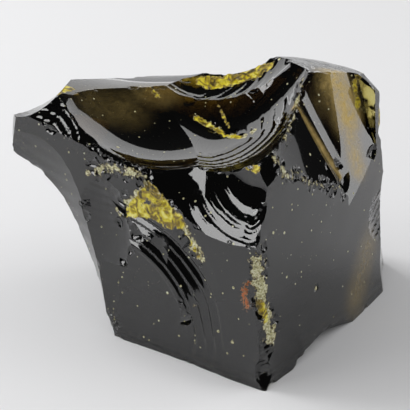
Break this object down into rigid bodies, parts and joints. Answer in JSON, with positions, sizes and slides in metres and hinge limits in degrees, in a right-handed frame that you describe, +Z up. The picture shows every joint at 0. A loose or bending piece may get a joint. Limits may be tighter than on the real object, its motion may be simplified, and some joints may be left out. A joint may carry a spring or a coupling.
{
  "type": "obsidian chunk",
  "caption": "Broken lump of dark volcanic glass with broad shell-like fracture scars, a scooped hollow on top and an overhanging horn at one end.",
  "frame": {"origin": "on the flat resting face, under the middle of the lump", "axes": "+Z up from the resting face, +X from the overhanging horn to the tall shoulder, -Y towards the sharp front corner"},
  "size_m": [0.136, 0.1043, 0.0884],
  "materials": {
    "volcanic_glass": "glossy fresh break, near black in bulk and olive yellow where thin"
  },
  "bodies": {
    "root": {"obsidian_chunk": "volcanic_glass"}
  },
  "joints": []
}
